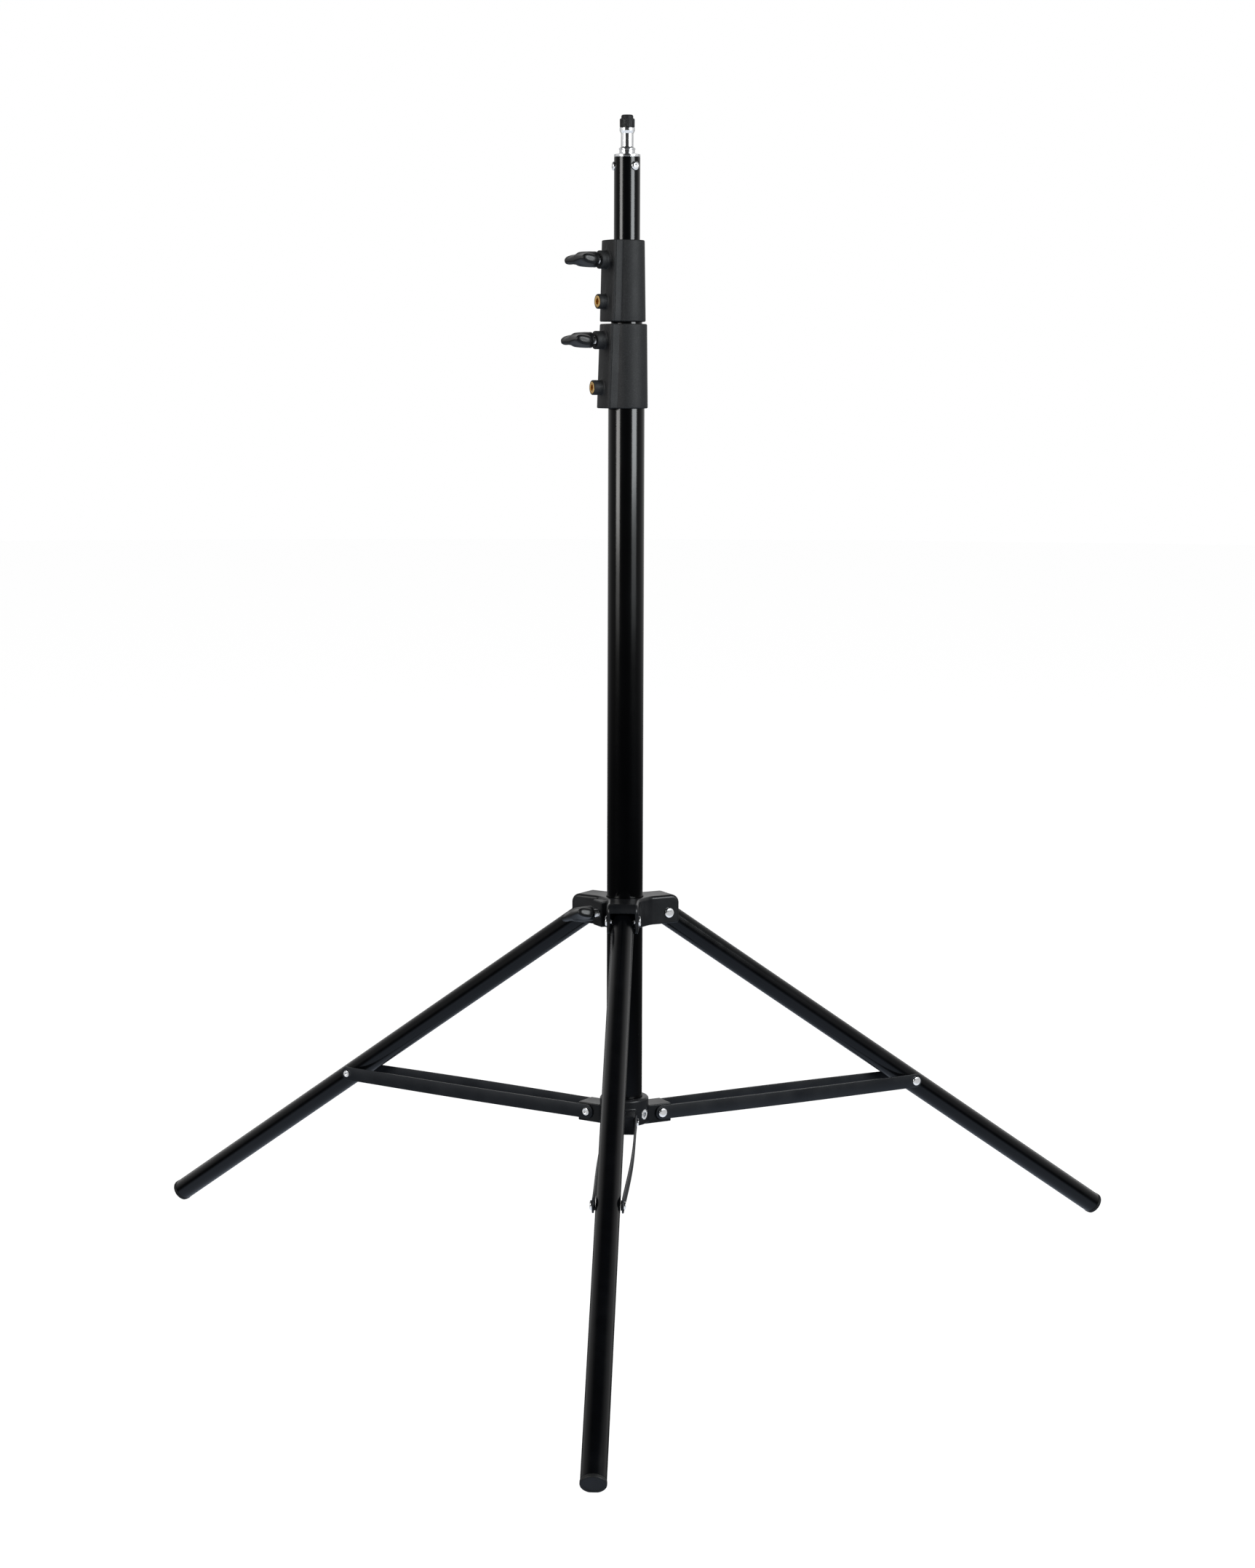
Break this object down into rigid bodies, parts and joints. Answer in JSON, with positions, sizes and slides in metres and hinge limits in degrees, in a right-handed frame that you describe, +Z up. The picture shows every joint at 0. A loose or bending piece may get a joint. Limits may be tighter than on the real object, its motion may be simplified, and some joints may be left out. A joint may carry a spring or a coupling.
{
  "type": "telescoping lighting stand with folding tripod base",
  "caption": "Telescoping black steel light stand with clamp knobs, a braced folding tripod base and a chrome spigot under a ribbed cap.",
  "frame": {"origin": "bottom centre of the stand's bounding box, on the floor; the column's axis stands at x 0, y 0.1415", "axes": "+Z up along the column; -Y towards the front leg; +X to the right seen from the front"},
  "size_m": [1.009, 0.8771, 1.1415],
  "materials": {
    "black_bar": "satin black steel",
    "black_casting": "satin black casting",
    "black_knob": "semi-gloss black moulding",
    "black_leg_tube": "gloss black powder coat",
    "black_nylon": "black nylon",
    "black_rubber": "black rubber",
    "black_tube": "gloss black powder coat",
    "brass_screw": "turned brass",
    "charcoal_moulding": "grained charcoal black moulding",
    "chrome_steel": "polished plating"
  },
  "bodies": {
    "base": {"base_clamp": "charcoal_moulding", "base_clamp_set_screw": "brass_screw", "base_tube": "black_tube", "base_tube_plug": "black_nylon", "lower_collar": "black_casting", "lower_collar_bolt_front": "chrome_steel", "lower_collar_bolt_left": "chrome_steel", "lower_collar_bolt_right": "chrome_steel", "lower_collar_screw": "chrome_steel"},
    "mid_piston": {"mid_piston": "black_nylon"},
    "mid": {"mid_tube": "black_tube", "mid_clamp": "charcoal_moulding", "mid_clamp_set_screw": "brass_screw"},
    "top_piston": {"top_piston": "black_nylon"},
    "top": {"top_tube": "black_tube", "spigot": "chrome_steel", "spigot_screw_1": "chrome_steel", "spigot_screw_2": "chrome_steel", "spigot_screw_3": "chrome_steel"},
    "cap": {"spigot_cap": "black_rubber"},
    "spider": {"spider": "black_casting", "spider_rivet_front": "chrome_steel", "spider_rivet_left": "chrome_steel", "spider_rivet_right": "chrome_steel"},
    "base_pad": {"base_pad": "black_nylon"},
    "base_knob": {"base_knob": "black_knob", "base_knob_stud": "chrome_steel"},
    "mid_pad": {"mid_pad": "black_nylon"},
    "mid_knob": {"mid_knob": "black_knob", "mid_knob_stud": "chrome_steel"},
    "spider_pad": {"spider_pad": "black_nylon"},
    "spider_knob": {"spider_knob": "black_knob", "spider_knob_stud": "chrome_steel"},
    "leg_front": {"leg_front": "black_leg_tube", "foot_front": "black_rubber", "leg_front_washer_a": "black_nylon", "leg_front_washer_b": "black_nylon"},
    "brace_front": {"brace_front_bar_a": "black_bar", "brace_front_bar_b": "black_bar", "brace_front_bolt_a": "chrome_steel", "brace_front_bolt_b": "chrome_steel"},
    "leg_right": {"leg_right": "black_leg_tube", "foot_right": "black_rubber", "leg_right_washer_a": "black_nylon", "leg_right_washer_b": "black_nylon"},
    "brace_right": {"brace_right_bar_a": "black_bar", "brace_right_bar_b": "black_bar", "brace_right_bolt_a": "chrome_steel", "brace_right_bolt_b": "chrome_steel"},
    "leg_left": {"leg_left": "black_leg_tube", "foot_left": "black_rubber", "leg_left_washer_a": "black_nylon", "leg_left_washer_b": "black_nylon"},
    "brace_left": {"brace_left_bar_a": "black_bar", "brace_left_bar_b": "black_bar", "brace_left_bolt_a": "chrome_steel", "brace_left_bolt_b": "chrome_steel"}
  },
  "joints": [
    {"name": "mid_slide", "type": "slide", "parent": "base", "child": "mid_piston", "axis": [0, 0, 1], "range_m": [0, 0.62]},
    {"name": "mid_swivel", "type": "hinge", "parent": "mid_piston", "child": "mid", "pos_m": [0, 0.14155, 0.9], "axis": [0, 0, 1], "continuous": true},
    {"name": "top_slide", "type": "slide", "parent": "mid", "child": "top_piston", "axis": [0, 0, 1], "range_m": [0, 0.62]},
    {"name": "top_swivel", "type": "hinge", "parent": "top_piston", "child": "top", "pos_m": [0, 0.14155, 1], "axis": [0, 0, 1], "continuous": true},
    {"name": "cap_lift", "type": "slide", "parent": "top", "child": "cap", "axis": [0, 0, 1], "range_m": [0, 0.03]},
    {"name": "spider_slide", "type": "slide", "parent": "base", "child": "spider", "axis": [0, 0, 1], "range_m": [0, 0.45194]},
    {"name": "leg_front_hinge", "type": "hinge", "parent": "spider", "child": "leg_front", "pos_m": [0, 0.10055, 0.3733], "axis": [1, 0, 0], "range_deg": [0, 54.03]},
    {"name": "brace_front_hinge", "type": "hinge", "parent": "base", "child": "brace_front", "pos_m": [0, 0.10605, 0.1729], "axis": [-1, 0, 0], "range_deg": [0, 87.07]},
    {"name": "leg_right_hinge", "type": "hinge", "parent": "spider", "child": "leg_right", "pos_m": [0.03551, 0.16205, 0.3733], "axis": [-0.5, 0.866, 0], "range_deg": [0, 54.03]},
    {"name": "brace_right_hinge", "type": "hinge", "parent": "base", "child": "brace_right", "pos_m": [0.03074, 0.1593, 0.1729], "axis": [0.5, -0.866, 0], "range_deg": [0, 87.07]},
    {"name": "leg_left_hinge", "type": "hinge", "parent": "spider", "child": "leg_left", "pos_m": [-0.03551, 0.16205, 0.3733], "axis": [-0.5, -0.866, 0], "range_deg": [0, 54.03]},
    {"name": "brace_left_hinge", "type": "hinge", "parent": "base", "child": "brace_left", "pos_m": [-0.03074, 0.1593, 0.1729], "axis": [0.5, 0.866, 0], "range_deg": [0, 87.07]},
    {"name": "base_pad_travel", "type": "slide", "parent": "base", "child": "base_pad", "axis": [-0.9003, -0.4352, 0], "range_m": [0, 0.0015]},
    {"name": "base_knob_turn", "type": "hinge", "parent": "base_pad", "child": "base_knob", "pos_m": [-0.01801, 0.13284, 0.9298], "axis": [-0.9003, -0.4352, 0], "range_deg": [0, 360]},
    {"name": "mid_pad_travel", "type": "slide", "parent": "mid", "child": "mid_pad", "axis": [-0.8712, -0.4909, 0], "range_m": [0, 0.0015]},
    {"name": "mid_knob_turn", "type": "hinge", "parent": "mid_pad", "child": "mid_knob", "pos_m": [-0.01742, 0.13173, 1.0055], "axis": [-0.8712, -0.4909, 0], "range_deg": [0, 360]},
    {"name": "spider_pad_travel", "type": "slide", "parent": "spider", "child": "spider_pad", "axis": [-0.866, -0.5, 0], "range_m": [0, 0.0015]},
    {"name": "spider_knob_turn", "type": "hinge", "parent": "spider_pad", "child": "spider_knob", "pos_m": [-0.01732, 0.13155, 0.3764], "axis": [-0.866, -0.5, 0], "range_deg": [0, 360]}
  ],
  "couplings": [
    {"joint": "leg_front_hinge", "follows": "spider_slide", "rad_per_m": 2.0865},
    {"joint": "brace_front_hinge", "follows": "spider_slide", "rad_per_m": 3.3626},
    {"joint": "leg_right_hinge", "follows": "spider_slide", "rad_per_m": 2.0865},
    {"joint": "brace_right_hinge", "follows": "spider_slide", "rad_per_m": 3.3626},
    {"joint": "leg_left_hinge", "follows": "spider_slide", "rad_per_m": 2.0865},
    {"joint": "brace_left_hinge", "follows": "spider_slide", "rad_per_m": 3.3626},
    {"joint": "base_knob_turn", "follows": "base_pad_travel", "rad_per_m": 4188.8},
    {"joint": "mid_knob_turn", "follows": "mid_pad_travel", "rad_per_m": 4188.8},
    {"joint": "spider_knob_turn", "follows": "spider_pad_travel", "rad_per_m": 4188.8}
  ]
}
